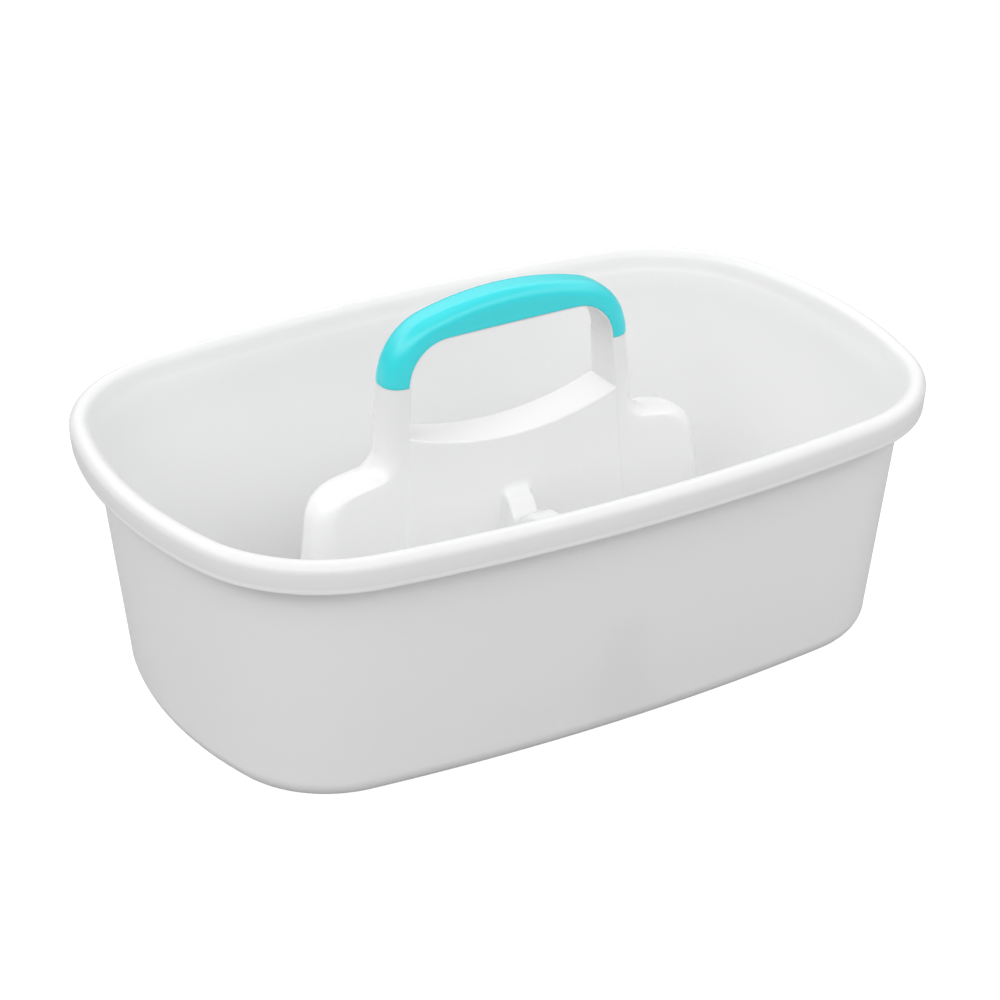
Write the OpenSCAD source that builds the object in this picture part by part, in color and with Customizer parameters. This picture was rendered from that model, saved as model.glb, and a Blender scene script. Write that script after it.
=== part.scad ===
// Cleaning caddy: an open tub with a rolled rim, a hollow centre divider with two posts,
// a handle bridge between the posts and a coloured grip cover that snaps over the bridge.
// Millimetres, +Z up, origin on the ground under the middle of the tub.

/* [Tub] */
// Overall length, over the rim
tub_len = 400; // [380:1:420]
// Overall width, over the rim
tub_wid = 259; // [246:1:270]
// Height of the rim's top
tub_h = 133; // [126:1:140]
// Length of the base
base_len = 356; // [340:1:360]
// Width of the base
base_wid = 208; // [200:1:212]
// Wall thickness of the tub
wall = 2.4; // [2:0.1:3]
// Top of the floor above the ground
floor_top = 3.2; // [3:0.1:4]
// Depth of the shallow recess under the floor
foot_recess = 0.8; // [0.5:0.1:1]
// Outer radius where the wall turns into the base
base_edge_r = 11.7; // [10:0.1:13]

/* [Rim] */
// Height of the rolled rim's skirt
rim_band = 14.5; // [13:0.5:16]
// How far the rim stands out from the wall at the skirt's lower edge
rim_over = 10.7; // [9:0.1:12]
// Outer radius of the rim's top edge
rim_r = 4.5; // [4:0.1:5]
// Thickness of the roll and its skirt
rim_t = 2.2; // [2:0.1:2.6]

/* [Divider] */
// Half length of the divider at the floor
div_half_len = 113.5; // [108:0.5:116]
// Half thickness of the divider at the hand opening's corners
div_half_t = 10.6; // [10:0.1:11.5]
// Thickness of the divider's skin
skin = 2.2; // [2:0.1:2.4]
// How far the middle panel stands proud
panel_proud = 0.8; // [0.4:0.1:1.2]
// Height of the cross fins where they leave the divider
fin_top = 87; // [80:1:92]
// Depth of the scoop in each fin's crest beside the divider
fin_scoop = 9.5; // [6:0.5:11]
// Height of the cross fins past the scoop
fin_mid = 84.5; // [78:0.5:88]
// Height of the cross fins at the tub's wall
fin_low = 60; // [40:1:66]
// Half width of the cross fins' flat-topped crest
fin_half = 7; // [6:0.5:7.5]

/* [Handle] */
// Half width of the hand opening at its lower corners
open_half = 55.6; // [54:0.1:57]
// Lowest point of the curved saddle under the hand opening
saddle_z = 114.5; // [112:0.5:117]
// Height of the post tops, where the grip cover ends
post_top = 150; // [148:0.5:152]
// Outer half width over the posts at their tops
post_half = 65.4; // [65:0.1:67]
// Inner radius of the handle's bends
bend_in = 20; // [18:0.5:21]
// Thickness of the grip cover
cover_t = 2.4; // [2:0.1:2.8]
// Half depth of the grip, front to back
grip_half = 9.9; // [9.5:0.1:10.1]

/* [Hidden] */
gap = 0.1;                        // clearance between parts that snap together
saddle_corner_z = 124.9;          // height of the hand opening's lower corners
open_top_half = 54;               // the posts lean in slightly towards the handle
opening_lean = (open_half - open_top_half) / (post_top - saddle_corner_z);
saddle_rise = saddle_corner_z - saddle_z;
saddle_r = (open_half * open_half + saddle_rise * saddle_rise) / (2 * saddle_rise);
shoulder_r = 15.3;                // convex shoulder of the divider
shoulder_x = 88.8;
shoulder_z = 88.6;
neck_r = 13.5;                    // concave neck above the shoulder
neck_x = 81.8;
neck_z = 119;
end_draft = 6;                    // degrees, the divider's end faces
slope = 9.5;                      // degrees, the shoulder's top falls outwards
face_draft = 0.028;               // half thickness gained per millimetre of depth
rib_h = 9;                        // locating rib inside the divider's foot
rib_t = 2;
rib_gap = 0.4;                    // clearance between the rib and the divider's skin
bead = 0.7;                       // snap bead round the rib
bead_z = 6.5;
groove = 0.5;                     // groove for it inside the divider's foot
tang_bottom = 128;                // lower end of the bridge's tangs
tang_bead_r = 0.8;                // snap beads on the tangs
tang_bead_len = 10;
flange_t = 0.9;                   // flange along the bridge, under the cover's edges
lip = 0.8;                        // lips of the cover, caught in the bridge's grooves

// Outlines of the tub: [length, width, long side radius, end radius, corner radius]
rim_shape = [tub_len, tub_wid, 920, 240, 76];
neck_shape = [tub_len - 2 * rim_over, tub_wid - 2 * rim_over,
              920 - rim_over, 240 - rim_over, 76 - rim_over];
base_shape = [base_len, base_wid, 1050, 210, 55];
rib_shape = [2 * (div_half_len - skin - 1.1), 2 * (div_half_t + 3.2 - skin - rib_gap), 20000, 300, 7.4];
wall_low = base_edge_r;           // the wall is ruled between these two heights
wall_high = tub_h - rim_band + 2;

function arc(c, r, a0, a1, n) =
    [for (i = [0:n]) let (a = a0 + (a1 - a0) * i / n) c + r * [cos(a), sin(a)]];
function drop_first(v) = [for (i = [1:len(v) - 1]) v[i]];
function reversed(v) = [for (i = [len(v) - 1:-1:0]) v[i]];

// A quarter outline from +X to +Y becomes a whole one, counter-clockwise
function whole(q) = let (
    upper = concat(q, drop_first(reversed([for (p = q) [-p.x, p.y]]))),
    on_axis = q[0].y == 0 ? 1 : 0)
    concat(upper, [for (i = [len(upper) - 1 - on_axis:-1:on_axis]) [upper[i].x, -upper[i].y]]);

// Bowed rectangle of tangent arcs, moved inwards by off
function bowed(s, off) = let (
    yc = s[1] / 2 - s[2],
    xc = s[0] / 2 - s[3],
    ra = s[2] - s[4],
    rb = s[3] - s[4],
    d = norm([xc, yc]),
    t = (ra * ra - rb * rb + d * d) / (2 * d),
    h = sqrt(ra * ra - t * t),
    u = [xc, -yc] / d,
    c = [t * u.x + h * u.y, yc + t * u.y - h * u.x],
    a_side = atan2(c.y - yc, c.x),
    a_end = atan2(c.y, c.x - xc))
    whole(concat(
        arc([xc, 0], s[3] - off, 0, a_end, 4),
        drop_first(arc(c, s[4] - off, a_end, a_side, 9)),
        drop_first(arc([0, yc], s[2] - off, a_side, 90, 5))));

function at_z(outline, z) = [for (p = outline) [p.x, p.y, z]];
function wall_ring(off, z) = let (
    t = (z - wall_low) / (wall_high - wall_low),
    low = bowed(base_shape, off),
    high = bowed(neck_shape, off))
    [for (i = [0:len(low) - 1]) [each (low[i] * (1 - t) + high[i] * t), z]];
function base_ring(off, z) = at_z(bowed(base_shape, off), z);
function rim_ring(off, z) = at_z(bowed(rim_shape, off), z);

// Closed solid through a stack of rings with equal point counts. A hollow section's ring goes
// along its outside and back along its inside, so its two ends are strips between the two.
module loft(rings, hollow = false) {
    n = len(rings[0]);
    m = len(rings);
    strip = [for (j = [0:n / 2 - 2]) each [[j, j + 1, n - 2 - j], [j, n - 2 - j, n - 1 - j]]];
    polyhedron(
        points = [for (r = rings) each r],
        faces = concat(
            hollow ? strip : [[for (j = [0:n - 1]) j]],
            hollow ? [for (f = strip) [for (j = [2:-1:0]) (m - 1) * n + f[j]]]
                   : [[for (j = [n - 1:-1:0]) (m - 1) * n + j]],
            [for (i = [0:m - 2], j = [0:n - 1]) let (k = (j + 1) % n)
                [i * n + j, (i + 1) * n + j, (i + 1) * n + k]],
            [for (i = [0:m - 2], j = [0:n - 1]) let (k = (j + 1) % n)
                [i * n + j, (i + 1) * n + k, i * n + k]]),
        convexity = 10);
}

// ---------------------------------------------------------------- tub
function rib_ring(off, z) = at_z(bowed(rib_shape, off), z);

// One closed surface: recess and base, wall, rim, inside of the wall, floor, locating rib
function tub_rings() = let (
    inner_r = base_edge_r - floor_top,
    skirt_z = tub_h - rim_band,
    roll_z = tub_h - rim_r,
    // from the rim's crest inwards and down to the wall: [in from the edge, below the top]
    crown = [[6, 0.15], [7.4, 0.65], [8.6, 1.6], [9.4, 2.9], [10.1, 4.6], [11.1, 7.4]])
    concat(
        [for (z = [foot_recess, 0]) base_ring(base_edge_r + 8, z)],
        [for (a = [90:-15:0])
            base_ring(base_edge_r * (1 - cos(a)), base_edge_r * (1 - sin(a)))],
        [wall_ring(0, tub_h - 8),
         rim_ring(7.4, tub_h - rim_t - 1.3),
         rim_ring(5.2, tub_h - rim_t)],
        [for (a = [70:-14:0]) rim_ring(rim_r - (rim_r - rim_t) * cos(a),
            roll_z + (rim_r - rim_t) * sin(a))],
        [rim_ring(rim_t + 0.8, skirt_z),
         rim_ring(0.6, skirt_z),
         rim_ring(0, skirt_z + 0.6),
         rim_ring(0, skirt_z + 2),
         rim_ring(0.3, skirt_z + 2.7),
         rim_ring(0, skirt_z + 3.7)],
        [for (a = [0:15:90]) rim_ring(rim_r * (1 - cos(a)), roll_z + rim_r * sin(a))],
        [for (p = crown) rim_ring(p[0], tub_h - p[1])],
        [wall_ring(wall, tub_h - 11), wall_ring(wall, wall_low)],
        [for (a = [18:18:90]) base_ring(wall + inner_r * (1 - cos(a)), wall_low - inner_r * sin(a))],
        [rib_ring(0, floor_top),
         rib_ring(0, bead_z - 1),
         rib_ring(-bead, bead_z),
         rib_ring(0, bead_z + 1),
         rib_ring(0, rib_h - 0.4),
         rib_ring(0.4, rib_h),
         rib_ring(rib_t, rib_h),
         rib_ring(rib_t, floor_top)]);

module tub() {
    color("white") loft(tub_rings());
}

// ---------------------------------------------------------------- divider
function half_t(z) = div_half_t + (saddle_corner_z - z) * face_draft;
function crease(z) = open_half + (saddle_corner_z - z) * 0.077;
function edge_r(z) = z > 119 ? 9 : z > 105 ? 9 + (119 - z) / 14 : 10;

// Right half of the divider's outer profile, from the floor up: [half length, height]
function end_profile() = concat(
    [[div_half_len, floor_top]],
    arc([shoulder_x, shoulder_z], shoulder_r, end_draft, 90 - slope, 8),
    arc([neck_x, neck_z], neck_r, 270 - slope, 180, 7),
    [[post_half, post_top]]);

// Quarter outline at height z of a shell off inside the divider's surface, x1 long
function island_quarter(x1, z, off) = let (
    y1 = half_t(z) - off,
    r = max(edge_r(z) - off, 1.5),
    c = crease(z) - off)
    concat(
        arc([x1 - r, y1 - r], r, 0, 90, 6),
        [[c + 0.4, y1], [c - 0.4, y1 + panel_proud]],
        [[0, y1 + panel_proud]]);

// The hollow keeps the skin's thickness measured square to the profile
function hollow_foot(z) = div_half_len - skin - (z - floor_top) * tan(end_draft);
function hollow_profile() = concat(
    [for (z = [floor_top - 10, bead_z - 1.2]) [hollow_foot(z), z]],
    [[hollow_foot(bead_z) + groove, bead_z, groove]],
    [[hollow_foot(bead_z + 1.2), bead_z + 1.2]],
    arc([shoulder_x, shoulder_z], shoulder_r - skin, end_draft, 90 - slope, 8),
    arc([neck_x, neck_z], neck_r + skin, 270 - slope, 180, 7),
    [[post_half - skin, post_top + 1]]);

module island(profile, off) {
    loft([for (p = profile) at_z(whole(island_quarter(p.x, p.y, len(p) > 2 ? off - p[2] : off)), p.y)]);
}

// Hand opening, widened by grow on its lower edge and sides
module hand_opening(grow) {
    half_top = open_top_half + grow - opening_lean * 40;
    rise = post_top + 40;
    translate([0, 40, 0])
        rotate([90, 0, 0])
            linear_extrude(80)
                polygon(concat(
                    arc([0, saddle_z + saddle_r], saddle_r + grow,
                        270 - asin((open_half + grow) / (saddle_r + grow)),
                        270 + asin((open_half + grow) / (saddle_r + grow)), 24),
                    [[half_top, rise], [-half_top, rise]]));
}

// Low cross fin towards the side dir, shrunk by off for its hollow
module fin(dir, off) {
    z_floor = floor_top - (off > 0 ? 10 : 0);
    y_wall_low = base_wid / 2 - wall - 0.5 - off;
    wall_lean = (tub_wid - 2 * rim_over - base_wid) / 2 / (wall_high - wall_low);
    corner_r = base_edge_r - floor_top;
    stations = [8, 13, 16, 18.5, 21, 24, 27, 29.5, 32, 36, 46, 58, 72, 84, 90, 200];
    rings = [for (s = stations) let (crest = fin_crest(min(s, 100)) - off)
        [for (p = fin_section(crest, fin_half - off, z_floor))
            [p.x, dir * min(s, y_wall_low + (p.y > base_edge_r
                ? (p.y - base_edge_r) * wall_lean
                : sqrt(max(0, corner_r * corner_r - pow(base_edge_r - max(p.y, floor_top), 2)))
                    - corner_r)), p.y]]];
    for (i = [0:len(rings) - 2])
        hull()
            loft(dir < 0 ? [rings[i], rings[i + 1]] : [rings[i + 1], rings[i]]);
}
// Flat-topped section with round shoulders, wider towards the floor
function fin_section(crest, half, z_floor) = let (
    lean = 0.12,
    r = half / 2,
    foot = half + (crest - r - z_floor) * lean)
    concat([[foot, z_floor]], arc([half - r, crest - r], r, 0, 90, 5),
        arc([r - half, crest - r], r, 90, 180, 5), [[-foot, z_floor]]);
// Crest line: a round scoop beside the divider, then a smooth fall to the wall
function fin_crest(y) = let (
    y0 = 13,
    y1 = 35,
    y2 = 100,
    line = fin_top + (fin_mid - fin_top) * max(0, y - y0) / (y1 - y0))
    y <= y1 ? line - fin_scoop * (1 - cos(360 * max(0, y - y0) / (y1 - y0))) / 2
            : fin_mid - (fin_mid - fin_low) * (1 - cos(180 * (y - y1) / (y2 - y1))) / 2;

module divider() {
    color("whitesmoke")
        difference() {
            union() {
                island(end_profile(), 0);
                fin(1, 0);
                fin(-1, 0);
            }
            difference() {
                union() {
                    island(hollow_profile(), skin);
                    fin(1, skin);
                    fin(-1, skin);
                }
                hand_opening(skin);
            }
            hand_opening(0);
            tang_beads(tang_bead_r + 0.2, tang_bead_len + 2);
        }
}

// ---------------------------------------------------------------- handle
bend_x = open_top_half - bend_in;   // both bends turn about this point
bend_z = post_top - 0.3;
bend_out = post_half - bend_x;
crown_slope = 15;                   // degrees, where the bend meets the crowned top
crown_x = bend_x + bend_out * sin(crown_slope);
crown_z = bend_z + bend_out * cos(crown_slope);
crown_r = crown_x / sin(crown_slope);
bend_steps = 10;
top_steps = 12;

// Stations along the handle: [inner point, outer point], left to right
function half_stations() = concat(
    [[[open_top_half, post_top], [post_half, post_top]]],
    [for (i = [1:bend_steps]) let (
        a = 90 * i / bend_steps,
        b = (90 - crown_slope) * i / bend_steps)
        [[bend_x, bend_z] + bend_in * [cos(a), sin(a)],
         [bend_x, bend_z] + bend_out * [cos(b), sin(b)]]],
    [for (i = [1:top_steps / 2]) let (
        f = 1 - 2 * i / top_steps,
        a = crown_slope * f)
        [[bend_x * f, bend_z + bend_in],
         [crown_r * sin(a), crown_z - crown_r * cos(crown_slope) + crown_r * cos(a)]]]);
function stations() = let (h = half_stations())
    concat([for (s = h) [[-s[0].x, s[0].y], [-s[1].x, s[1].y]]], drop_first(reversed(h)));

// Shoulder radius of the cover: nearly half round at the posts, tighter on top
function shoulder(s) = let (d = (s[1] - s[0]) / norm(s[1] - s[0])) 8.4 - 2.2 * d.y * d.y;

// Section point [u, v] at a station: u from the inner side outwards, v across
function place(s, p) = let (
    d = (s[1] - s[0]) / norm(s[1] - s[0]),
    q = s[0] + d * p.x)
    [q.x, p.y, q.y];

function half_section(h, y, r, low) = concat(
    [[low, y]],
    arc([h - r, y - r], r, 90, 0, 5));
function mirrored(v) = reversed([for (p = v) [p.x, -p.y]]);

// The cover's section is a C whose two lips catch in grooves along the core
function cover_section(h, r) = let (
    low = flange_t + gap,
    y_in = grip_half - cover_t,
    outside = concat([[low, grip_half - 0.4], [low + 0.4, grip_half]],
        half_section(h, grip_half, r, low + 0.4 + (h - r - low - 0.4) / 2)),
    inside = concat([[low, y_in - lip], [low + lip, y_in - lip]],
        half_section(h - cover_t, y_in, r - cover_t, low + lip)))
    concat(outside, mirrored(outside), inside_back(inside));
function inside_back(v) = reversed(concat(v, mirrored(v)));

// The core's section: a flange on the inner side, then the grooves, then a round body
function core_section(h, r) = let (
    y = grip_half - cover_t - gap,
    edge = grip_half - 0.45,
    top = flange_t + lip + 2 * gap,
    half = concat([[0, edge - 0.4], [0.4, edge], [flange_t, edge],
                   [flange_t, y - lip], [top, y - lip]],
        half_section(h - cover_t - gap, y, r - cover_t, top)))
    concat(half, mirrored(half));

function sweep(section) = [for (s = stations()) let (h = norm(s[1] - s[0]))
    [for (p = (section == 0 ? cover_section(h, shoulder(s)) : core_section(h, shoulder(s))))
        place(s, p)]];

module tang_beads(r, length) {
    for (side = [-1, 1])
        translate([side * 57.7, 0, tang_bottom + 6])
            rotate([90, 0, 0])
                cylinder(r = r, h = length, center = true, $fn = 24);
}

// Tang that plugs into the hollow post
module tang() {
    x_in = 58;
    x_out = post_half - skin - 0.4;
    y = 7.2;
    r = 3.5;
    translate([0, 0, tang_bottom])
        linear_extrude(post_top - tang_bottom)
            polygon(concat(
                [[x_in, -y]],
                arc([x_out - r, -y + r], r, -90, 0, 5),
                arc([x_out - r, y - r], r, 0, 90, 5),
                [[x_in, y]]));
}

module handle_bridge() {
    color("gainsboro") {
        loft(sweep(1));
        tang();
        mirror([1, 0, 0]) tang();
        tang_beads(tang_bead_r, tang_bead_len);
    }
}

module grip_cover() {
    color("turquoise") loft(sweep(0), hollow = true);
}

tub();
divider();
handle_bridge();
grip_cover();
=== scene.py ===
"""Cleaning caddy: the tub, divider, handle bridge and grip cover as fine moulded meshes on the CAD frame.

Shapes are worked out in millimetres, with +X along the tub, +Y across it and +Z up, and turned into
metres when a mesh is made.
"""

import math

import bpy
import numpy as np
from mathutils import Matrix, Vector


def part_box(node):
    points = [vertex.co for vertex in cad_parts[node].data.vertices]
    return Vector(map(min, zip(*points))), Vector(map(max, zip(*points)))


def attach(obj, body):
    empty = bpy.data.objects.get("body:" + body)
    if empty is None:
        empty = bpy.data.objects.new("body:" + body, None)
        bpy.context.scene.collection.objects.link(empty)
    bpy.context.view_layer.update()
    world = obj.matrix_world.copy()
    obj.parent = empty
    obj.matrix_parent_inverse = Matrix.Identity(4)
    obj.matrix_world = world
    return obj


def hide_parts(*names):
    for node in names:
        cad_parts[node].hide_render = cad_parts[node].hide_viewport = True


MM = 0.001
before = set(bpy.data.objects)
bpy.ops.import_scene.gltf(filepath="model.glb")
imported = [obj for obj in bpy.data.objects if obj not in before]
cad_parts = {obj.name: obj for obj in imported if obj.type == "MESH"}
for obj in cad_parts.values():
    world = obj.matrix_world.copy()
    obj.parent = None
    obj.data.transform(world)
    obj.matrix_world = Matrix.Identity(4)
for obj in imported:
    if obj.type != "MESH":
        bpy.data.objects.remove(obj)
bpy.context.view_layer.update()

# ------------------------------------------------------------------ sizes, in millimetres
tub_lo, tub_hi = (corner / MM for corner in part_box("tub"))
divider_lo, divider_hi = (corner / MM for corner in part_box("divider"))
grip_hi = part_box("grip_cover")[1] / MM

TUB_LEN = tub_hi.x - tub_lo.x
TUB_WID = tub_hi.y - tub_lo.y
TUB_H = tub_hi.z
BASE_LEN = 356.0
BASE_WID = 208.0
WALL = 2.4
FLOOR_TOP = divider_lo.z
FOOT_RECESS = 0.8
FOOT_RING = 8.0  # width of the flat ring that the tub stands on
BASE_EDGE_R = 11.7  # outer rounding between the floor and the walls

RIM_BAND = 14.5  # height of the rim's skirt
RIM_OVER = 10.7  # how far the rim stands out from the wall
RIM_R = 4.5  # rounding of the rim's outer shoulder
RIM_T = 2.2  # thickness of the skirt
# Parts of the rim's section, as [in from the rim's outline, below its top]
RIM_UNDER = ((7.4, 3.5), (6.4, 2.7), (5.2, 2.2))
RIM_CROWN = (
    (5.2, 0.03), (5.9, 0.12), (6.6, 0.3), (7.3, 0.6), (7.9, 0.98), (8.5, 1.5), (9.0, 2.15),
    (9.4, 2.9), (9.75, 3.7), (10.1, 4.6), (10.6, 5.9), (11.1, 7.4), (11.9, 9.2),
)
# The skirt's lower edge, from its back to its face: [in from the outline, above the edge]
SKIRT_EDGE = (
    (RIM_T + 0.8, 0.4), (RIM_T + 0.5, 0.0), (1.5, 0.0), (1.1, 0.12), (0.84, 0.4), (0.76, 0.8),
    (0.69, 1.6), (0.7, 2.1), (0.72, 2.5), (0.71, 2.8), (0.6, 3.3), (0.44, 4.2), (0.16, 7.0),
)

DIV_HALF_LEN = divider_hi.x
DIV_HALF_T = 10.6  # at the saddle's corners
SKIN = 2.2
PANEL_PROUD = 0.8
END_DRAFT = 6.0  # degrees
SHOULDER_SLOPE = 9.5  # degrees
SHOULDER_R, SHOULDER_X, SHOULDER_Z = 15.3, 88.8, 88.6
NECK_R, NECK_X, NECK_Z = 13.5, 81.8, 119.0
FACE_DRAFT = 0.028  # half thickness gained for each millimetre down
CREASE_SPREAD = 0.077  # how far each crease moves out for each millimetre down
FIN_TOP, FIN_MID, FIN_LOW = 87.0, 84.5, 60.0  # at the divider, past the scoop, at the wall
FIN_REACH = 100.0  # distance from the middle where the crest has come down to FIN_LOW
FIN_HALF = 7.0
FIN_EDGE_R = 3.0
FIN_LEAN = 0.12  # half width gained for each millimetre down
# A fin's crest, as [distance from the middle, height]: a scoop beside the divider, then a ridge
FIN_CREST = (
    (12, FIN_TOP), (15, 85.2), (17.5, 83.3), (19, 81.2), (20.2, 78.6), (21.5, 76.9), (23, 76.4),
    (25, 77.3), (28, 79.8), (31, 82.0), (34, 83.5), (37, 84.3), (40, FIN_MID),
)
BLEND_R = 2.6  # fillets between a fin and what it meets

OPEN_HALF = 55.6  # half width of the hand opening, at the saddle's corners
OPEN_TOP_HALF = 54.0  # the same at the posts' tops
OPEN_EDGE_R = 0.8
SADDLE_Z = 114.5
SADDLE_CORNER_Z = 124.9
POST_TOP = divider_hi.z
POST_HALF = grip_hi.x
BEND_IN = 20.0  # radius of the handle's bends, on its inner line
CROWN_SLOPE = 15.0  # degrees, where the bends run into the crown
GRIP_HALF = grip_hi.y
COVER_T = 2.4
GAP = 0.1  # between the cover and the core
END_ROUND = (0.0, 0.12, 0.4)  # heights of the rings that round the cover's ends
END_INSET = (0.35, 0.1, 0.0)
FLANGE_T = 0.9  # thickness of the core's flange, under the cover's edges
LIP = 0.8  # how far the cover's lips reach into the core
SHOULDER_POST, SHOULDER_GRIP = 8.4, 6.2  # the cover's shoulder radius, at the posts and on top
TANG_BOTTOM, TANG_IN, TANG_HALF, TANG_R = 128.0, 58.0, 7.2, 3.5
TANG_GAP = 0.4  # between a tang and the post's skin

# Outlines for bowed(): length, width, and the radii of the sides, the ends and the corners
RIM_SHAPE = (TUB_LEN, TUB_WID, 920.0, 240.0, 76.0)
NECK_SHAPE = tuple(v - k * RIM_OVER for v, k in zip(RIM_SHAPE, (2, 2, 1, 1, 1)))
BASE_SHAPE = (BASE_LEN, BASE_WID, 1050.0, 210.0, 55.0)
RIB_SHAPE = (2 * (DIV_HALF_LEN - SKIN - 1.1), 2 * (DIV_HALF_T + 3.2 - SKIN - 0.4), 20000.0, 300.0, 7.4)
RIB_H = 9.0
# The rib's section, as [in from its outline, height]: a snap bead on its side, then its top
RIB_SECTION = (
    (0, FLOOR_TOP), (0, 5.5), (-0.5, 6.1), (-0.7, 6.5), (-0.5, 6.9), (0, 7.5),
    (0, RIB_H - 0.4), (0.4, RIB_H), (2.0, RIB_H), (2.0, FLOOR_TOP),
)
WALL_LOW = BASE_EDGE_R
WALL_HIGH = TUB_H - RIM_BAND + 2


# ------------------------------------------------------------------ outlines and meshes
def arc(centre, radius, start, end, steps):
    """Points along an arc, with the angles in degrees."""
    a = np.radians(np.linspace(start, end, steps + 1))
    return np.array(centre) + radius * np.stack([np.cos(a), np.sin(a)], axis=1)


def whole(quarter):
    """A quarter outline from +X to +Y, mirrored into a closed counter-clockwise loop."""
    q = np.asarray(quarter, float)
    upper = np.vstack([q, (q * [-1, 1])[::-1][1:]])
    on_axis = 1 if abs(q[0, 1]) < 1e-9 else 0
    lower = (upper * [1, -1])[::-1]
    return np.vstack([upper, lower[on_axis : len(lower) - on_axis]])


def bowed(shape, off, steps=(12, 22, 22)):
    """A rectangle with bowed sides, of tangent arcs, moved inwards by off."""
    length, width, side_r, end_r, corner_r = shape
    yc, xc = width / 2 - side_r, length / 2 - end_r
    ra, rb, d = side_r - corner_r, end_r - corner_r, math.hypot(xc, yc)
    t = (ra * ra - rb * rb + d * d) / (2 * d)
    h = math.sqrt(ra * ra - t * t)
    ux, uy = xc / d, -yc / d
    cx, cy = t * ux + h * uy, yc + t * uy - h * ux
    a_side = math.degrees(math.atan2(cy - yc, cx))
    a_end = math.degrees(math.atan2(cy, cx - xc))
    return whole(
        np.vstack(
            [
                arc((xc, 0), end_r - off, 0, a_end, steps[0]),
                arc((cx, cy), corner_r - off, a_end, a_side, steps[1])[1:],
                arc((0, yc), side_r - off, a_side, 90, steps[2])[1:],
            ]
        )
    )


def at_z(outline, z):
    return np.column_stack([outline, np.full(len(outline), z)])


def rim_ring(off, z):
    return at_z(bowed(RIM_SHAPE, off), z)


def base_ring(off, z):
    return at_z(bowed(BASE_SHAPE, off), z)


def rib_ring(off, z):
    return at_z(bowed(RIB_SHAPE, off), z)


def wall_ring(off, z):
    """The wall is ruled from the base outline up to the neck outline under the rim."""
    t = (z - WALL_LOW) / (WALL_HIGH - WALL_LOW)
    return at_z(bowed(BASE_SHAPE, off) * (1 - t) + bowed(NECK_SHAPE, off) * t, z)


def loft_faces(rings, closed_ends=True):
    """Vertices and faces of the surface through a stack of rings with equal point counts."""
    rings = np.asarray(rings, float)
    count, size = rings.shape[:2]
    index = np.arange(count * size).reshape(count, size)
    low, high = index[:-1], index[1:]
    quads = np.stack([low, np.roll(low, -1, 1), np.roll(high, -1, 1), high], -1)
    faces = quads.reshape(-1, 4).tolist()
    if closed_ends:
        faces += [index[0][::-1].tolist(), index[-1].tolist()]
    return rings.reshape(-1, 3), faces


def make_object(name, verts, faces):
    mesh = bpy.data.meshes.new(name)
    mesh.from_pydata((np.asarray(verts) * MM).tolist(), [], faces)
    mesh.validate()
    obj = bpy.data.objects.new(name, mesh)
    bpy.context.scene.collection.objects.link(obj)
    return obj


def loft(name, rings):
    return make_object(name, *loft_faces(rings))


def boolean(target, tool, operation):
    """Applies an exact boolean to target and deletes the tool."""
    mod = target.modifiers.new("boolean", "BOOLEAN")
    mod.object, mod.operation, mod.solver = tool, operation, "EXACT"
    graph = bpy.context.evaluated_depsgraph_get()
    mesh = bpy.data.meshes.new_from_object(target.evaluated_get(graph))
    target.modifiers.clear()
    target.data = mesh
    bpy.data.objects.remove(tool)
    return target


def smooth(obj, sharp_degrees):
    """Smooth shading, kept crisp along edges sharper than sharp_degrees."""
    obj.data.shade_smooth()
    obj.data.set_sharp_from_angle(angle=math.radians(sharp_degrees))


# ------------------------------------------------------------------ tub
def tub_rings():
    inner_r = BASE_EDGE_R - FLOOR_TOP
    skirt_z, roll_z = TUB_H - RIM_BAND, TUB_H - RIM_R
    foot = BASE_EDGE_R + FOOT_RING
    rings = [base_ring(foot + 1.0, FOOT_RECESS), base_ring(foot + 0.3, FOOT_RECESS - 0.2)]
    rings += [base_ring(foot, 0.3), base_ring(foot - 0.3, 0)]
    rings += [
        base_ring(BASE_EDGE_R * (1 - math.cos(a)), BASE_EDGE_R * (1 - math.sin(a)))
        for a in np.radians(np.arange(90, -1, -6))
    ]
    rings += [wall_ring(0, z) for z in np.linspace(WALL_LOW, TUB_H - 8, 14)[1:]]
    # under the rim, down the back of the skirt and round its lower edge
    rings += [rim_ring(off, TUB_H - down) for off, down in RIM_UNDER]
    under_r = RIM_R - RIM_T
    rings += [
        rim_ring(RIM_R - under_r * math.cos(a), roll_z + under_r * math.sin(a))
        for a in np.radians(np.arange(70, -1, -14))
    ]
    rings += [rim_ring(off, skirt_z + up) for off, up in SKIRT_EDGE]
    rings += [
        rim_ring(RIM_R * (1 - math.cos(a)), roll_z + RIM_R * math.sin(a))
        for a in np.radians(np.arange(0, 91, 6))
    ]
    rings += [rim_ring(off, TUB_H - down) for off, down in RIM_CROWN]
    rings += [wall_ring(WALL, z) for z in np.linspace(TUB_H - 11, WALL_LOW, 14)]
    rings += [
        base_ring(WALL + inner_r * (1 - math.cos(a)), WALL_LOW - inner_r * math.sin(a))
        for a in np.radians(np.arange(9, 91, 9))
    ]
    # the locating rib that the divider snaps over
    rings += [rib_ring(off, z) for off, z in RIB_SECTION]
    return rings


# ------------------------------------------------------------------ divider
def half_t(z):
    """Half thickness of the divider at height z, without the proud panel."""
    return DIV_HALF_T + (SADDLE_CORNER_Z - z) * FACE_DRAFT


def crease(z):
    """Distance from the middle to the crease beside the panel, at height z."""
    return OPEN_HALF + (SADDLE_CORNER_Z - z) * CREASE_SPREAD


def edge_r(z):
    """Rounding of the divider's ends: nearly full below the shoulders, a little tighter above."""
    return float(np.interp(z, (105, 119), (10, 9)))


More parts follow.
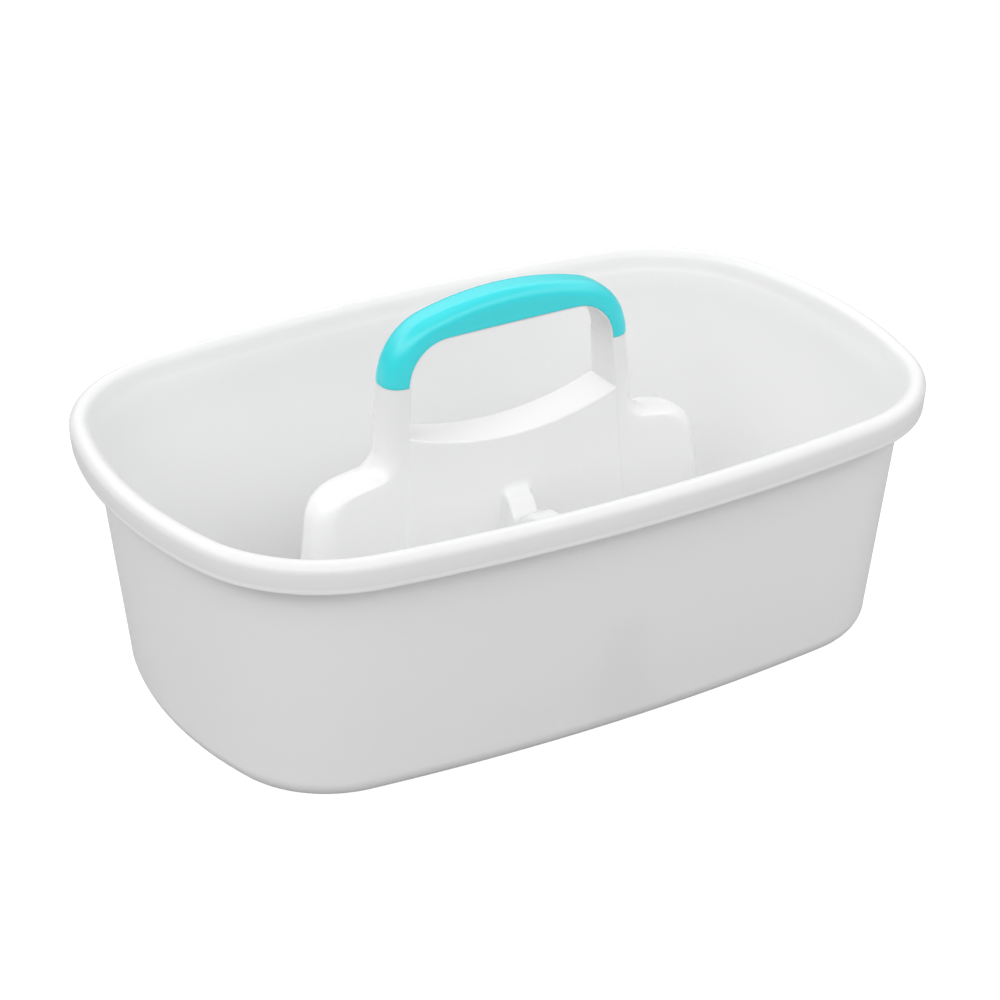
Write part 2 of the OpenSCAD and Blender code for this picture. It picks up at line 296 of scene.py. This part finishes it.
def island_ring(x_end, z, off):
    """Outline of the divider at height z, moved inwards by off; x_end is already moved."""
    y = half_t(z) - off
    r = max(edge_r(z) - off, 1.5)
    c = crease(z) - off
    step = PANEL_PROUD
    quarter = np.vstack(
        [
            arc((x_end - r, y - r), r, 0, 90, 14),
            [(c + 0.2 * k, y + step * (1 - math.sin(math.pi * k / 12)) / 2) for k in range(6, -7, -2)],
            [(0, y + step)],
        ]
    )
    return at_z(whole(quarter), z)


def profile(off):
    """The divider's end profile [half length, height], floor to post top, moved inwards by off."""
    lean = math.tan(math.radians(END_DRAFT))
    foot_z = FLOOR_TOP - (10 if off else 0)
    shoulder = arc((SHOULDER_X, SHOULDER_Z), SHOULDER_R - off, END_DRAFT, 90 - SHOULDER_SLOPE, 20)
    neck = arc((NECK_X, NECK_Z), NECK_R + off, 270 - SHOULDER_SLOPE, 180, 20)
    foot_x = shoulder[0][0] + (shoulder[0][1] - foot_z) * lean
    top_x, top_z = POST_HALF - off, POST_TOP + (1 if off else 0)
    foot = np.linspace((foot_x, foot_z), shoulder[0], 9)[:-1]
    post = np.linspace(neck[-1], (top_x, top_z), 8)[1:]
    return np.vstack([foot, shoulder, neck, post])


def island(name, off):
    return loft(name, [island_ring(x, z, off) for x, z in profile(off)])


def opening_edge(grow):
    """Outline of the hand opening [x, z], widened by grow on its lower edge and sides."""
    rise = SADDLE_CORNER_Z - SADDLE_Z
    radius = (OPEN_HALF**2 + rise**2) / (2 * rise)
    half_angle = math.degrees(math.asin((OPEN_HALF + grow) / (radius + grow)))
    lean = (OPEN_HALF - OPEN_TOP_HALF) / (POST_TOP - SADDLE_CORNER_Z)
    top_z = POST_TOP + 30
    top_x = OPEN_TOP_HALF + grow - lean * 30
    saddle = arc((0, SADDLE_Z + radius), radius + grow, 270 - half_angle, 270 + half_angle, 72)
    return np.vstack([saddle, [(top_x, top_z), (-top_x, top_z)]])


def hand_opening(name, grow, edge_round=0.0):
    """A block that cuts the hand opening, with its two edges rounded over by edge_round."""
    if edge_round:
        steps = [
            (-edge_round * (1 - math.sin(t)), edge_round * (1 - math.cos(t)))
            for t in np.radians((0, 22, 45, 68, 90))
        ]
        steps.append((edge_round, edge_round * 2))
    else:
        steps = [(30.0, 0.0)]
    front = []
    for out, wider in steps:
        edge = opening_edge(grow + wider)
        proud = np.where(edge[:, 1] < SADDLE_CORNER_Z - 0.5, PANEL_PROUD, 0)
        face = half_t(edge[:, 1]) + proud
        front.append(np.column_stack([edge[:, 0], -(face + out), edge[:, 1]]))
    rings = [ring * [1, -1, 1] for ring in front[::-1]] + front
    return loft(name, rings)


def fin_crest(y):
    """Height of a fin's crest: FIN_CREST, then a smooth fall to the wall."""
    ridge_y = FIN_CREST[-1][0]
    if y <= ridge_y:
        return float(np.interp(y, *zip(*FIN_CREST)))
    fall = (1 - math.cos(math.pi * (y - ridge_y) / (FIN_REACH - ridge_y))) / 2
    return FIN_MID - (FIN_MID - FIN_LOW) * fall


def fillet(gap, radius):
    """How far a fillet of that radius stands out at a gap from the surface it runs into."""
    if gap >= radius:
        return 0.0
    reach = 1 - max(gap, 0.0) / radius
    return radius * (1 - math.sqrt(max(0.0, 1 - reach * reach)))


def wall_y(z, off):
    """Where a fin meets the inside of the tub's side wall, on the middle line, at height z."""
    corner_r = BASE_EDGE_R - FLOOR_TOP
    low = BASE_WID / 2 - WALL - 0.2 - off
    if z > BASE_EDGE_R:
        lean = (TUB_WID - 2 * RIM_OVER - BASE_WID) / 2 / (WALL_HIGH - WALL_LOW)
        return low + (z - BASE_EDGE_R) * lean
    drop = BASE_EDGE_R - max(z, FLOOR_TOP)
    return low + math.sqrt(max(0.0, corner_r**2 - drop**2)) - corner_r


def fin(name, direction, off):
    """One cross fin, from inside the divider to the wall, moved inwards by off for the hollow."""
    foot_z = FLOOR_TOP - (10 if off else 0)
    blend = 0 if off else BLEND_R
    near = half_t(FIN_TOP) + PANEL_PROUD
    gaps = [blend * k for k in (0.0, 0.08, 0.2, 0.4, 0.65, 1.0)] if blend else [0.0]
    stations = [near - 3] + [near + g for g in gaps]
    stations += list(np.linspace(near + 3.2, 40, 26)) + list(np.linspace(42, 88, 16))
    if blend:
        stations += [-g for g in gaps[::-1]]  # counted back from the wall
    else:
        stations += [-0.0]
    rings = []
    for s in stations:
        back = s < 0 or (s == 0 and math.copysign(1, s) < 0)
        y_mid = wall_y(FIN_LOW, off) + s if back else s
        flare = fillet(-s if back else s - near, blend) if blend else 0.0
        crest = fin_crest(min(y_mid, FIN_REACH)) - off + flare
        half = FIN_HALF - off + flare
        r = half * FIN_EDGE_R / FIN_HALF
        foot = half + (crest - r - foot_z) * FIN_LEAN
        low_steps = (0, 0.1, 0.3, 0.7, 1.3, 2.0, BLEND_R) if blend else (0,)
        side = [
            (foot + (fillet(z - foot_z, blend) if blend else 0) - (z - foot_z) * FIN_LEAN, z)
            for z in [foot_z + h for h in low_steps]
        ]
        side += [(foot - (z - foot_z) * FIN_LEAN, z) for z in np.linspace(foot_z + 3, crest - r, 7)[:-1]]
        right = np.vstack([side, arc((half - r, crest - r), r, 0, 90, 12)])
        top = [(0, crest)]
        section = np.vstack([right, top, (right * [-1, 1])[::-1]])
        ring = [
            (x, direction * (wall_y(z, off) + s if back else s), z)
            for x, z in section
        ]
        rings.append(ring)
    if direction > 0:
        rings = rings[::-1]
    return loft(name, rings)


def build_divider():
    body = island("divider_body", 0)
    hollow = island("divider_hollow", SKIN)
    for direction in (1, -1):
        boolean(body, fin("fin", direction, 0), "UNION")
        boolean(hollow, fin("fin_hollow", direction, SKIN), "UNION")
    boolean(hollow, hand_opening("opening_shell", SKIN), "DIFFERENCE")
    boolean(body, hollow, "DIFFERENCE")
    boolean(body, hand_opening("opening", 0, OPEN_EDGE_R), "DIFFERENCE")
    return body


# ------------------------------------------------------------------ handle
BEND_X = OPEN_TOP_HALF - BEND_IN
BEND_Z = POST_TOP - 0.3
BEND_OUT = POST_HALF - BEND_X
CROWN_X = BEND_X + BEND_OUT * math.sin(math.radians(CROWN_SLOPE))
CROWN_Z = BEND_Z + BEND_OUT * math.cos(math.radians(CROWN_SLOPE))
CROWN_BOW = CROWN_X / math.sin(math.radians(CROWN_SLOPE))


def stations():
    """Pairs of points along the handle, on its inner and its outer line, left to right."""
    half = [((OPEN_TOP_HALF, POST_TOP + up), (POST_HALF, POST_TOP + up)) for up in END_ROUND]
    steps = 26
    for i in range(1, steps + 1):
        a = math.radians(90 * i / steps)
        b = math.radians((90 - CROWN_SLOPE) * i / steps)
        half.append(
            (
                (BEND_X + BEND_IN * math.cos(a), BEND_Z + BEND_IN * math.sin(a)),
                (BEND_X + BEND_OUT * math.cos(b), BEND_Z + BEND_OUT * math.sin(b)),
            )
        )
    top_steps = 14
    for i in range(1, top_steps + 1):
        f = 1 - i / top_steps
        a = math.radians(CROWN_SLOPE * f)
        low = CROWN_Z - CROWN_BOW * math.cos(math.radians(CROWN_SLOPE))
        outer = (CROWN_BOW * math.sin(a), low + CROWN_BOW * math.cos(a))
        half.append(((BEND_X * f, BEND_Z + BEND_IN), outer))
    half = np.array(half)
    return np.vstack([half * [-1, 1], half[::-1][1:]])


def sweep(section):
    """Rings of a section [from the inner line outwards, across] along the handle."""
    pairs = stations()
    rings = []
    for i, (inner, outer) in enumerate(pairs):
        from_end = min(i, len(pairs) - 1 - i)
        inset = END_INSET[from_end] if from_end < len(END_INSET) else 0.0
        height = float(np.linalg.norm(outer - inner))
        direction = (outer - inner) / height
        shoulder = SHOULDER_POST + (SHOULDER_GRIP - SHOULDER_POST) * direction[1] ** 2
        points = section(height, inset, shoulder)
        along = inner + points[:, :1] * direction
        rings.append(np.column_stack([along[:, 0], points[:, 1], along[:, 1]]))
    return rings


def mirrored(half):
    return (half * [1, -1])[::-1]


def cover_section(height, inset, shoulder):
    """A C whose lips catch in the core's grooves: round shoulders, flat sides, crowned top."""
    y_out, y_in = GRIP_HALF - inset, GRIP_HALF - COVER_T + inset / 2
    top_out, top_in = height - inset, height - COVER_T
    low = FLANGE_T + GAP
    outside = np.vstack(
        [
            [(low, y_out - 0.4), (low + 0.12, y_out - 0.12), (low + 0.4, y_out)],
            np.linspace((low + 0.7, y_out), (top_out - shoulder, y_out), 6)[:-1],
            arc((top_out - shoulder, y_out - shoulder), shoulder, 90, 0, 18),
        ]
    )
    r = shoulder - COVER_T
    inside = np.vstack(
        [
            [(low, y_in - LIP), (low + LIP, y_in - LIP), (low + LIP, y_in)],
            arc((top_in - r, y_in - r), r, 90, 0, 8),
        ]
    )
    return np.vstack([outside, mirrored(outside), np.vstack([inside, mirrored(inside)])[::-1]])


def core_section(height, _inset, shoulder):
    """The core: a flange along its inner side, a groove for the cover's lips, a round body."""
    y, r = GRIP_HALF - COVER_T - GAP, shoulder - COVER_T
    edge = GRIP_HALF - 0.45
    groove_y, groove_top = y - LIP, FLANGE_T + LIP + 2 * GAP
    half = np.vstack(
        [
            [(0, edge - 0.7), (0.1, edge - 0.3), (0.35, edge), (FLANGE_T, edge)],
            [(FLANGE_T, groove_y), (groove_top, groove_y), (groove_top, y)],
            arc((height - COVER_T - GAP - r, y - r), r, 90, 0, 8),
        ]
    )
    return np.vstack([half, mirrored(half)])


def build_bridge():
    core = loft("handle_core", sweep(core_section))
    corner_x = POST_HALF - SKIN - TANG_GAP - TANG_R
    corner_y = TANG_HALF - TANG_R
    for side in (-1, 1):
        outline = np.vstack(
            [
                [(TANG_IN, -TANG_HALF)],
                arc((corner_x, -corner_y), TANG_R, -90, 0, 6),
                arc((corner_x, corner_y), TANG_R, 0, 90, 6),
                [(TANG_IN, TANG_HALF)],
            ]
        )
        if side < 0:
            outline = (outline * [-1, 1])[::-1]
        rings = [at_z(outline, z) for z in (TANG_BOTTOM, POST_TOP + 0.6)]
        boolean(core, loft("tang", rings), "UNION")
    return core


# ------------------------------------------------------------------ materials
def new_material(name):
    """A material, with its nodes, its links, its shader and a texture coordinate node."""
    mat = bpy.data.materials.new(name)
    mat.use_nodes = True
    nodes, links = mat.node_tree.nodes, mat.node_tree.links
    shader = nodes["Principled BSDF"]
    coords = nodes.new("ShaderNodeTexCoord")
    return mat, nodes, links, shader, coords


def noise(nodes, links, coords, scale, detail):
    tex = nodes.new("ShaderNodeTexNoise")
    tex.inputs["Scale"].default_value = scale
    tex.inputs["Detail"].default_value = detail
    links.new(coords.outputs["Object"], tex.inputs["Vector"])
    return tex


def ranged(nodes, links, source, low, high):
    """Maps a noise value, mostly between 0.3 and 0.7, to low..high."""
    node = nodes.new("ShaderNodeMapRange")
    node.inputs["From Min"].default_value = 0.3
    node.inputs["From Max"].default_value = 0.7
    node.inputs["To Min"].default_value = low
    node.inputs["To Max"].default_value = high
    links.new(source, node.inputs["Value"])
    return node.outputs["Result"]


def moulded_plastic(name, colour, spread, rough, scatter, scatter_radius):
    """Injection-moulded plastic: faint flow clouding, slightly uneven gloss and a fine skin."""
    mat, nodes, links, shader, coords = new_material(name)
    cloud = noise(nodes, links, coords, 7, 1)
    ramp = nodes.new("ShaderNodeValToRGB")
    ramp.color_ramp.elements[0].position = 0.3
    ramp.color_ramp.elements[1].position = 0.7
    ramp.color_ramp.elements[0].color = (*[c * (1 - spread) for c in colour], 1)
    ramp.color_ramp.elements[1].color = (*colour, 1)
    links.new(cloud.outputs["Fac"], ramp.inputs["Fac"])
    links.new(ramp.outputs["Color"], shader.inputs["Base Color"])

    patches = noise(nodes, links, coords, 16, 2)
    low, high = rough - 0.02, rough + 0.02
    links.new(ranged(nodes, links, patches.outputs["Fac"], low, high), shader.inputs["Roughness"])

    skin = noise(nodes, links, coords, 1100, 2)
    waves = noise(nodes, links, coords, 24, 1)
    fine = nodes.new("ShaderNodeBump")
    fine.inputs["Strength"].default_value = 0.1
    fine.inputs["Distance"].default_value = 0.00003
    links.new(skin.outputs["Fac"], fine.inputs["Height"])
    broad = nodes.new("ShaderNodeBump")
    broad.inputs["Strength"].default_value = 0.2
    broad.inputs["Distance"].default_value = 0.00015
    links.new(waves.outputs["Fac"], broad.inputs["Height"])
    links.new(fine.outputs["Normal"], broad.inputs["Normal"])
    links.new(broad.outputs["Normal"], shader.inputs["Normal"])

    shader.inputs["IOR"].default_value = 1.49
    shader.inputs["Subsurface Weight"].default_value = scatter
    shader.inputs["Subsurface Radius"].default_value = scatter_radius
    shader.inputs["Subsurface Scale"].default_value = 0.004
    return mat


WHITE = (0.88, 0.88, 0.88)
AQUA = (0.05, 0.76, 0.82)

# ------------------------------------------------------------------ pieces on the frame
# colour, depth of the clouding, roughness, scatter and its radius for each colour channel
white_tub = moulded_plastic("tub_white", WHITE, 0.005, 0.3, 0.2, (1, 1, 1))
white_divider = moulded_plastic("divider_white", WHITE, 0.005, 0.22, 0.2, (1, 1, 1))
white_bridge = moulded_plastic("bridge_white", WHITE, 0.005, 0.3, 0.2, (1, 1, 1))
aqua_grip = moulded_plastic("grip_aqua", AQUA, 0.008, 0.25, 0.1, (0.3, 1, 1))

made = (
    (loft("tub_shell", tub_rings()), "tub", "tub_white", white_tub, 40),
    (build_divider(), "divider", "divider_white", white_divider, 32),
    (build_bridge(), "handle_bridge", "bridge_white", white_bridge, 40),
    (loft("grip_cover_shell", sweep(cover_section)), "grip_cover", "grip_aqua", aqua_grip, 50),
)
for piece, node, slot, material, sharp in made:
    piece.data.materials.clear()
    piece.data.materials.append(material)
    smooth(piece, sharp)
    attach(piece, "root")
    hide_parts(node)


# ------------------------------------------------------------------ stage
AIM_HEIGHT = 68.05  # of the point that AIM_RIGHT and AIM_UP start from, in millimetres
CENTRE = Vector((0, 0, AIM_HEIGHT)) * MM
FLOOR_HALF = 12000.0
FLOOR_ALBEDO = 0.5
FLOOR_SEEN = 0.96  # glow of the floor for the camera's own rays
# elevation in degrees, light from all round, how much more from the right, and from the front
DOME = (
    (0, 0.1, 0.1, -0.1),
    (6, 0.1, 0.2, -0.12),
    (20, 0.65, 0.3, 0.04),
    (39, 2.5, -0.82, 0.4),
    (61, 0.3, -0.16, 0.05),
    (81, 0.75, 0.0, 0.0),
)
DOME_TOP = 2.5


def make_floor():
    """A wide matt grey floor, which throws light back up. The camera's own rays also see a glow
    on it, so that it looks white; no other ray sees that glow."""
    half = FLOOR_HALF
    corners = [(-half, -half, 0), (half, -half, 0), (half, half, 0), (-half, half, 0)]
    floor = make_object("studio_floor", corners, [(0, 1, 2, 3)])
    mat, nodes, links, shader, coords = new_material("studio_floor")
    grain = noise(nodes, links, coords, 3, 2)
    ramp = nodes.new("ShaderNodeValToRGB")
    ramp.color_ramp.elements[0].color = (FLOOR_ALBEDO - 0.01,) * 3 + (1,)
    ramp.color_ramp.elements[1].color = (FLOOR_ALBEDO + 0.01,) * 3 + (1,)
    links.new(grain.outputs["Fac"], ramp.inputs["Fac"])
    links.new(ramp.outputs["Color"], shader.inputs["Base Color"])
    shader.inputs["Roughness"].default_value = 0.9
    shader.inputs["Specular IOR Level"].default_value = 0.0
    shader.inputs["Emission Color"].default_value = (1, 1, 1, 1)
    path = nodes.new("ShaderNodeLightPath")
    glow = nodes.new("ShaderNodeMath")
    glow.operation = "MULTIPLY"
    glow.inputs[1].default_value = FLOOR_SEEN
    links.new(path.outputs["Is Camera Ray"], glow.inputs[0])
    links.new(glow.outputs[0], shader.inputs["Emission Strength"])
    floor.data.materials.append(mat)


def make_world():
    """A soft studio dome. Its light goes by elevation, with one side brighter than the other:
    level + right * x + front * -y, for a direction x, y, z. The camera sees plain white."""
    world = bpy.data.worlds.new("studio")
    bpy.context.scene.world = world
    world.use_nodes = True
    nodes, links = world.node_tree.nodes, world.node_tree.links

    def math_node(operation, a, b):
        node = nodes.new("ShaderNodeMath")
        node.operation = operation
        for socket, value in zip(node.inputs, (a, b)):
            if isinstance(value, (int, float)):
                socket.default_value = value
            else:
                links.new(value, socket)
        return node.outputs[0]

    coords = nodes.new("ShaderNodeTexCoord")
    split = nodes.new("ShaderNodeSeparateXYZ")
    links.new(coords.outputs["Generated"], split.inputs[0])
    x, y, z = split.outputs
    ramp = nodes.new("ShaderNodeValToRGB")
    links.new(z, ramp.inputs["Fac"])
    stops = ramp.color_ramp.elements
    while len(stops) < len(DOME):
        stops.new(0.5)
    for stop, (elevation, level, right, front) in zip(stops, DOME):
        flat = math.cos(math.radians(elevation))
        stop.position = math.sin(math.radians(elevation))
        stop.color = (level / DOME_TOP, 0.5 + right / flat / 4, 0.5 + front / flat / 4, 1)
    parts = nodes.new("ShaderNodeSeparateColor")
    links.new(ramp.outputs["Color"], parts.inputs[0])
    level, right, front = parts.outputs
    level = math_node("MULTIPLY", level, DOME_TOP)
    right = math_node("MULTIPLY", math_node("MULTIPLY", math_node("SUBTRACT", right, 0.5), 4), x)
    front = math_node("MULTIPLY", math_node("MULTIPLY", math_node("SUBTRACT", front, 0.5), -4), y)
    total = math_node("MAXIMUM", math_node("ADD", math_node("ADD", level, right), front), 0)
    path = nodes.new("ShaderNodeLightPath")
    seen = path.outputs["Is Camera Ray"]
    unseen = math_node("SUBTRACT", 1, seen)
    strength = math_node("ADD", seen, math_node("MULTIPLY", total, unseen))
    background = nodes["Background"]
    background.inputs["Color"].default_value = (1, 1, 1, 1)
    links.new(strength, background.inputs["Strength"])


make_floor()
make_world()

# ------------------------------------------------------------------ camera
AZIMUTH, ELEVATION = -30.71, 27.27  # degrees
DISTANCE = 1.5149  # metres
LENS = 114.36
AIM_RIGHT, AIM_UP = -1.33 * MM, 5.48 * MM

az, el = math.radians(AZIMUTH), math.radians(ELEVATION)
back = Vector((math.sin(az) * math.cos(el), -math.cos(az) * math.cos(el), math.sin(el)))
right = Vector((math.cos(az), math.sin(az), 0))
up = back.cross(right)
camera = bpy.data.cameras.new("camera")
camera.lens, camera.sensor_width = LENS, 36.0
camera.clip_start, camera.clip_end = 0.05, 60
camera_obj = bpy.data.objects.new("camera", camera)
camera_obj.location = CENTRE + right * AIM_RIGHT + up * AIM_UP + back * DISTANCE
camera_obj.rotation_mode = "QUATERNION"
camera_obj.rotation_quaternion = (-back).to_track_quat("-Z", "Y")
bpy.context.scene.collection.objects.link(camera_obj)
bpy.context.scene.camera = camera_obj
bpy.context.scene.view_settings.view_transform = "Standard"
